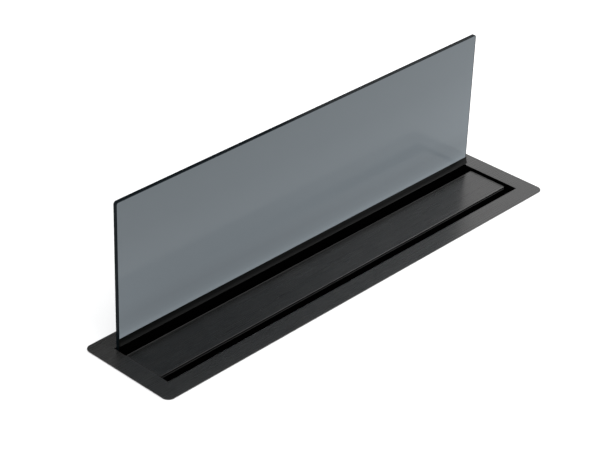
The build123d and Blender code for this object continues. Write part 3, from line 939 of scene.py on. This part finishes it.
trim_box_low, trim_box_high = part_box("base_trim")
trim_thick = 1.0 * mm
lip_above = 6.6 * mm
lip_edge = 1.0 * mm
trim_round = 0.18 * mm
trim_face = trim_box_high.y - trim_thick
lip_out = trim_face - trim_box_low.y
lip_low = top + lip_above
cove_drop = trim_box_high.z - lip_low - lip_edge
cove_r = (cove_drop**2 + lip_out**2) / (2 * lip_out)
cove_turn = 2 * atan2(lip_out, cove_drop)

trim = start_outline("foot_trim", -glass_high.x, trim_face, trim_box_high.z)
bpy.ops.mesh.spin(
    steps=14,
    angle=cove_turn,
    center=(-glass_high.x, trim_face - cove_r, trim_box_high.z),
    axis=(1, 0, 0),
)
at = (trim_box_low.y, lip_low + lip_edge)
for corner in (
    (trim_box_low.y, lip_low),
    (trim_face, lip_low),
    (trim_face, trim_box_low.z),
    (trim_box_high.y, trim_box_low.z),
    (trim_box_high.y, trim_box_high.z),
    (trim_face, trim_box_high.z),
):
    at = draw_to(*at, *corner)
bpy.ops.mesh.select_all(action="SELECT")
bpy.ops.mesh.remove_doubles(threshold=0.01 * mm)
bpy.ops.mesh.edge_face_add()
bpy.ops.mesh.extrude_region_move(TRANSFORM_OT_translate={"value": (2 * glass_high.x, 0, 0)})
bpy.ops.mesh.select_all(action="SELECT")
bpy.ops.mesh.normals_make_consistent(inside=False)
leave()
soften(trim, trim_round, segments=2, angle=40)
# The skirt below the lip takes the near-black painted shade of the slot.
dress(trim, trim_coat, painted_slot_shade, cover_coat)
for face in trim.data.polygons:
    if face.center.z < lip_low + 0.02 * mm:
        face.material_index = 1
    # Painted highlight: the lip's front face takes the cover's lighter, glossier coating, so it shows as a
    # light line.
    elif face.center.z < lip_low + lip_edge:
        face.material_index = 2
    else:
        face.material_index = 0
stand_for(trim, "screen", "trim_coating", "base_trim")
print("trim from", [round(v, 4) for v in trim.bound_box[0]], "to", [round(v, 4) for v in trim.bound_box[6]])

# %% [markdown]
# ## Parts that keep their shape
# Sheet and turned parts below the worktop are right as they are, but their edges are knife sharp, and a
# real edge is always slightly round and shows a thin light line. Each gets a merged copy with its edges
# rounded.


# %% Copies with rounded edges
def islands(node):
    """The boxes of the separate lumps in a CAD node, each as its lowest and highest corner."""
    mesh = frame["nodes"][node].data
    keys = [tuple(round(v, 6) for v in corner.co) for corner in mesh.vertices]
    leader = {}

    def root(key):
        while leader.setdefault(key, key) != key:
            key = leader[key]
        return key

    for face in mesh.polygons:
        first = root(keys[face.vertices[0]])
        for index in face.vertices[1:]:
            leader[root(keys[index])] = first
    lumps = {}
    for key in keys:
        lumps.setdefault(root(key), []).append(key)
    return sorted((tuple(map(min, zip(*lump))), tuple(map(max, zip(*lump)))) for lump in lumps.values())


def merged(node, name):
    """A copy of a CAD node with its loose triangles merged into whole faces."""
    only(frame["nodes"][node])
    bpy.ops.object.duplicate()
    piece = named(name)
    bpy.ops.object.parent_clear(type="CLEAR_KEEP_TRANSFORM")
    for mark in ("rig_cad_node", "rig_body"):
        del piece[mark]
    choose(piece, "FACE", lambda c, n: True)
    bpy.ops.mesh.remove_doubles(threshold=0.001 * mm)
    bpy.ops.mesh.dissolve_limited(angle_limit=radians(0.5))
    leave()
    return piece


slot_of = {row["node"]: row["material_slot"] for row in frame["record"]["subparts"]}
body_of = {node: body for body, nodes in frame["record"]["behaviour"]["bodies"].items() for node in nodes}
EDGE_RADII = {
    0.2: (
        "front_panel rear_panel end_plate_left end_plate_right base_plate chamber_floor chamber_end_left "
        "chamber_end_right divider_panel front_support duct_spigot seal_tape circuit_board"
    ),
    0.3: (
        "clamp_brackets motor_bracket carriage_beam glass_liners setting_blocks cover_pads rear_wiper "
        "filter_frame_left filter_frame_right cover_standoffs motor_shaft sensor_magnet screw_bearings "
        "clamp_screws bracket_screws"
    ),
    0.5: (
        "lift_bracket_left lift_bracket_right guide_block_left guide_block_right guide_rail_left "
        "guide_rail_right top_bearing_blocks low_bearing_blocks screw_nuts gearbox motor_can control_box "
        "control_box_lid cable_gland gland_nut end_sensors"
    ),
}
for radius, names in EDGE_RADII.items():
    for node in names.split():
        piece = merged(node, node + "_rounded")
        soften(piece, radius * mm, segments=2, angle=35)
        dress(piece, finishes[slot_of[node]])
        stand_for(piece, body_of[node], slot_of[node], node)

# %% [markdown]
# ## Pressed beads and rolled rings
# A large thin panel drums, so it has long beads pressed into it, and the duct spigot has two rolled rings
# that the hose clamp grips behind. A bead is a bar with rounded ends and a soft shoulder, and a ring is a
# small circle turned about the duct's axis.


# %% Beads on the panels
def add_bead(name, low, high, out):
    """A pressed bead between two corners. out is the way it stands proud: its axis and sign."""
    axis, sign = out
    piece = add_block(name, low, high)
    thin = [0.0, 0.0, 0.0]
    thin[axis] = sign
    along = Vector(thin)
    wide = min(b - a for i, (a, b) in enumerate(zip(low, high)) if i != axis)
    choose(piece, "EDGE", lambda c, d: abs(d.dot(along)) > 0.9)
    bpy.ops.mesh.bevel(offset=wide * 0.49, segments=8, affect="EDGES")
    leave()
    choose(piece, "FACE", lambda c, n: n.dot(along) > 0.9)
    bpy.ops.mesh.region_to_loop()
    bpy.ops.mesh.bevel(offset=(high[axis] - low[axis]) * 0.9, segments=3, affect="EDGES")
    leave()
    smooth(piece, 40)
    return piece


def join(name, parts):
    """Several pieces made one."""
    deselect()
    for part in parts:
        part.select_set(True)
    bpy.context.view_layer.objects.active = parts[0]
    bpy.ops.object.join()
    return named(name)


bead_high = 1.0 * mm
bead_wide = 12.0 * mm
rear_reach = 0.36
rear_levels = (-0.150, -0.205, -0.260)
front_long = 0.25
front_starts = (-0.37, 0.12)
front_levels = (-0.118, -0.172, -0.226)
back = housing_high.y
face_y = front_low.y
beads = [
    add_bead("bead", (-rear_reach, back, z), (rear_reach, back + bead_high, z + bead_wide), (1, 1))
    for z in rear_levels
]
beads += [
    add_bead("bead", (x, face_y - bead_high, z), (x + front_long, face_y, z + bead_wide), (1, -1))
    for x in front_starts
    for z in front_levels
]
panel_beads = join("panel_beads", beads)
dress(panel_beads, finishes["housing_steel"])
stand_for(panel_beads, "housing", "housing_steel")

# %% Rings on the spigot
spigot_low, spigot_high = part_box("duct_spigot")
duct_z = (spigot_low.z + spigot_high.z) / 2
duct_r = 74.5 * mm
ring_r = 1.0 * mm
ring_places = (8 * mm, 30 * mm)
rings = []
for from_end in ring_places:
    y = spigot_low.y + from_end
    deselect()
    bpy.ops.mesh.primitive_circle_add(
        vertices=12, radius=ring_r, location=(duct_r, y, duct_z), fill_type="NOTHING"
    )
    ring = settle(named("ring"))
    choose(ring, "VERT", lambda c, n: True)
    bpy.ops.mesh.spin(steps=96, angle=2 * pi, center=(0, y, duct_z), axis=(0, 1, 0))
    bpy.ops.mesh.select_all(action="SELECT")
    bpy.ops.mesh.remove_doubles(threshold=0.01 * mm)
    bpy.ops.mesh.normals_make_consistent(inside=False)
    leave()
    rings.append(ring)
spigot_rings = join("spigot_rings", rings)
smooth(spigot_rings, 50)
dress(spigot_rings, finishes["housing_steel"])
stand_for(spigot_rings, "housing", "housing_steel")

# %% [markdown]
# ## Filters
# Grease filters are frames with expanded metal on both faces, which is a sheet that is slit and pulled
# open into diamonds. A grid whose cells are poked into four and whose old lines are dissolved gives the
# diamonds, and a Wireframe modifier turns their lines into strands.

# %% Model the expanded metal
cell_x = 9.0 * mm
cell_y = 4.6 * mm
strand = 0.9 * mm


def on_old_grid(c, d, low, high):
    """True for a line of the grid inside its outline."""
    hair = 0.1 * mm
    inside = low.x + hair < c.x < high.x - hair and low.y + hair < c.y < high.y - hair
    return inside and (abs(d.x) > 0.999 or abs(d.y) > 0.999)


def add_expanded(name, low, high, z):
    """One sheet of expanded metal over a rectangle at a height."""
    deselect()
    columns = round((high.x - low.x) / cell_x)
    rows = round((high.y - low.y) / cell_y)
    middle = ((low.x + high.x) / 2, (low.y + high.y) / 2, z)
    bpy.ops.mesh.primitive_grid_add(x_subdivisions=columns, y_subdivisions=rows, size=1, location=middle)
    piece = named(name)
    piece.scale = (high.x - low.x, high.y - low.y, 1)
    settle(piece)
    choose(piece, "FACE", lambda c, n: True)
    bpy.ops.mesh.poke()
    leave()
    choose(piece, "EDGE", lambda c, d: on_old_grid(c, d, low, high))
    bpy.ops.mesh.dissolve_edges(use_verts=False)
    leave()
    modify(piece, "WIREFRAME", thickness=strand, use_even_offset=False, use_boundary=True)
    return piece


for side in ("left", "right"):
    node = "filter_mesh_" + side
    mesh_low, mesh_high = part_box(node)
    levels = (mesh_low.z + strand, mesh_high.z - strand)
    sheets = [add_expanded("sheet", mesh_low, mesh_high, z) for z in levels]
    lattice = join("filter_lattice_" + side, sheets)
    dress(lattice, finishes["filter_mesh"])
    stand_for(lattice, "cover", "filter_mesh", node)

# %% [markdown]
# ## The drive
# The pane is raised by two lead screws with four thread starts, so one turn lifts it 8 mm. A star with
# four lobes is swept upwards while it turns, which is just what the Screw modifier does. A toothed belt
# joins the screws and the motor. Its teeth are one block, repeated along each straight run, and the
# pulleys have the same pitch.

# %% Model the lead screws
lead = 8.0 * mm
starts = 4
points_round = 24
root_share = 0.8
thread_gap = 5.0 * mm
journal_r = 3.0 * mm


def add_rod(name, x, y, low, high, radius, edge=0.3 * mm):
    """An upright round rod with bevelled ends."""
    deselect()
    bpy.ops.mesh.primitive_cylinder_add(
        vertices=40, radius=radius, depth=high - low, location=(x, y, (low + high) / 2)
    )
    piece = settle(named(name))
    choose(piece, "EDGE", lambda c, d: abs(d.z) < 0.1)
    bpy.ops.mesh.bevel(offset=edge, segments=2, affect="EDGES")
    leave()
    return piece


def angle_index(c, x, y, count):
    """Which of count equal sectors round an axis a point lies in."""
    return round(atan2(c.y - y, c.x - x) / (2 * pi / count)) % count


pulley_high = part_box("screw_pulley_left")[1]
for side in ("left", "right"):
    node = "lead_screw_" + side
    rod_low, rod_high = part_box(node)
    x, y = ((rod_low + rod_high) / 2)[:2]
    thread_r = (rod_high.x - rod_low.x) / 2
    thread_low = pulley_high.z
    turns = int((rod_high.z - thread_gap - thread_low) / lead)
    deselect()
    bpy.ops.mesh.primitive_circle_add(
        vertices=points_round, radius=thread_r, location=(x, y, thread_low), fill_type="NOTHING"
    )
    thread = named("thread")
    lobe = points_round // starts
    only(thread)
    mesh = thread.data
    for corner in mesh.vertices:
        corner.select = angle_index(corner.co, 0, 0, points_round) % lobe >= lobe // 2
    bpy.context.tool_settings.mesh_select_mode = MODES["VERT"]
    bpy.ops.object.mode_set(mode="EDIT")
    bpy.ops.transform.resize(value=(root_share, root_share, 1), center_override=(x, y, thread_low))
    leave()
    modify(
        thread,
        "SCREW",
        angle=2 * pi,
        screw_offset=lead,
        iterations=turns,
        steps=points_round,
        render_steps=points_round,
        use_normal_calculate=True,
    )
    settle(thread)
    thread_high = thread_low + turns * lead
    for z_end in (thread_low, thread_high):
        choose(thread, "VERT", lambda c, n: near(c.z, z_end))
        bpy.ops.mesh.edge_face_add()
        leave()
    choose(thread, "FACE", lambda c, n: True)
    bpy.ops.mesh.normals_make_consistent(inside=False)
    leave()
    whole = join(
        "threaded_" + node,
        [
            thread,
            add_rod("lower", x, y, rod_low.z, thread_low, journal_r),
            add_rod("upper", x, y, thread_high, rod_high.z, journal_r),
        ],
    )
    smooth(whole, 32)
    dress(whole, finishes["ground_steel"])
    stand_for(whole, body_of[node], slot_of[node], node)

# %% Model the pulleys
tooth_pitch = 2.5 * mm
pulley_r = 7.1 * mm
flange_r = 8.6 * mm
flange_thick = 1.0 * mm
gap_share = 0.88
pulley_teeth = round(2 * pi * pulley_r / tooth_pitch)
for node in ("screw_pulley_left", "screw_pulley_right", "motor_pulley"):
    ring_low, ring_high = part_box(node)
    x, y = ((ring_low + ring_high) / 2)[:2]
    deselect()
    bpy.ops.mesh.primitive_cylinder_add(
        vertices=4 * pulley_teeth,
        radius=pulley_r,
        depth=ring_high.z - ring_low.z - flange_thick,
        location=(x, y, (ring_low.z + ring_high.z) / 2),
    )
    gear = settle(named("gear"))
    choose(gear, "VERT", lambda c, n: angle_index(c, x, y, 4 * pulley_teeth) % 4 >= 2)
    bpy.ops.transform.resize(value=(gap_share, gap_share, 1), center_override=(x, y, ring_low.z))
    leave()
    levels = (ring_low.z, ring_high.z - flange_thick)
    plates = [add_rod("plate", x, y, z, z + flange_thick, flange_r) for z in levels]
    hub = join("toothed_" + node, [gear, *plates])
    smooth(hub, 30)
    dress(hub, finishes[slot_of[node]])
    stand_for(hub, body_of[node], slot_of[node], node)

# %% Model the belt's teeth
belt_low, belt_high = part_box("drive_belt")
belt_inner = 7.4 * mm
tooth_deep = 0.8 * mm
tooth_wide = 1.2 * mm
tooth_start = 4.0 * mm
tooth_sink = 1.1
tooth_short = 0.4 * mm
belt_round = 0.2 * mm
shafts = []
for node in ("screw_pulley_left", "screw_pulley_right", "motor_pulley"):
    ring_low, ring_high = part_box(node)
    shafts.append((ring_low + ring_high) / 2)
centre = sum((shaft.to_2d() for shaft in shafts), Vector((0, 0))) / len(shafts)
teeth = []
for here, there in zip(shafts, shafts[1:] + shafts[:1]):
    run = (there - here).to_2d()
    along = run.normalized()
    outwards = Vector((-along.y, along.x))
    if outwards.dot(here.to_2d() - centre) < 0:
        outwards = -outwards
    begin = here.to_2d() + outwards * (belt_inner - tooth_deep / 2) + along * tooth_start
    deselect()
    bpy.ops.mesh.primitive_cube_add(size=1, location=(0, 0, 0))
    tooth = named("tooth")
    tooth.scale = (tooth_wide, tooth_deep * tooth_sink, belt_high.z - belt_low.z - tooth_short)
    settle(tooth)
    choose(tooth, "EDGE", lambda c, d: abs(d.z) > 0.9)
    bpy.ops.mesh.bevel(offset=belt_round, segments=1, affect="EDGES")
    leave()
    modify(
        tooth,
        "ARRAY",
        count=int((run.length - 2 * tooth_start) / tooth_pitch),
        use_relative_offset=False,
        use_constant_offset=True,
        constant_offset_displace=(tooth_pitch, 0, 0),
    )
    tooth.rotation_euler = (0, 0, atan2(along.y, along.x))
    tooth.location = (begin.x, begin.y, (belt_low.z + belt_high.z) / 2)
    teeth.append(settle(tooth))
belt = merged("drive_belt", "belt_band")
soften(belt, belt_round, segments=1, angle=50)
toothed_belt = join("toothed_belt", [belt, *teeth])
dress(toothed_belt, finishes[slot_of["drive_belt"]])
stand_for(toothed_belt, body_of["drive_belt"], slot_of["drive_belt"], "drive_belt")

# %% [markdown]
# ## Screws
# Every panel screw is the same low, domed head with a six-lobe socket, so it is modelled once, copied, and
# turned to face the way its panel faces.

# %% Model one head and copy it
head_r = 3.6 * mm
head_tall = 2.0 * mm
dome = 0.9 * mm
socket_r = 1.5 * mm
socket_deep = 1.1 * mm
lobe_share = 0.78
head_sides = 36


def on_head_top(c, reach):
    """True on the flat top of a head, within a reach of its middle."""
    return c.z > head_tall - 0.05 * mm and c.to_2d().length < reach


def add_head(name):
    """A screw head that stands on the origin and faces +Z."""
    deselect()
    bpy.ops.mesh.primitive_cylinder_add(
        vertices=head_sides, radius=head_r, depth=head_tall, location=(0, 0, head_tall / 2)
    )
    piece = settle(named(name))
    choose(piece, "EDGE", lambda c, d: near(c.z, head_tall))
    bpy.ops.mesh.bevel(offset=dome, segments=4, affect="EDGES")
    leave()
    middle_zone = 0.2 * mm
    choose(piece, "FACE", lambda c, n: n.z > 0.99 and on_head_top(c, middle_zone))
    bpy.ops.mesh.inset(thickness=head_r - dome - socket_r)
    leave()
    ring_zone = socket_r + 0.1 * mm
    between_lobes = (2, 3, 4)
    choose(
        piece,
        "VERT",
        lambda c, n: on_head_top(c, ring_zone) and angle_index(c, 0, 0, head_sides) % 6 in between_lobes,
    )
    bpy.ops.transform.resize(value=(lobe_share, lobe_share, 1), center_override=(0, 0, head_tall))
    leave()
    choose(piece, "FACE", lambda c, n: n.z > 0.99 and on_head_top(c, middle_zone))
    bpy.ops.mesh.extrude_region_move(TRANSFORM_OT_translate={"value": (0, 0, -socket_deep)})
    leave()
    smooth(piece, 40)
    return piece


pattern_head = add_head("pattern_head")
heads = []
for lump_low, lump_high in islands("panel_screws"):
    faces_back = lump_low[1] + lump_high[1] > 0
    seat_y = lump_high[1] - head_tall if faces_back else lump_low[1] + head_tall
    only(pattern_head)
    bpy.ops.object.duplicate()
    head = named("head")
    head.rotation_euler = (radians(-90 if faces_back else 90), 0, 0)
    head.location = ((lump_low[0] + lump_high[0]) / 2, seat_y, (lump_low[2] + lump_high[2]) / 2)
    heads.append(settle(head))
only(pattern_head)
bpy.ops.object.delete()
screw_heads = join("panel_screw_heads", heads)
dress(screw_heads, finishes["zinc_screws"])
stand_for(screw_heads, "housing", "zinc_screws", "panel_screws")
print("heads:", len(heads))
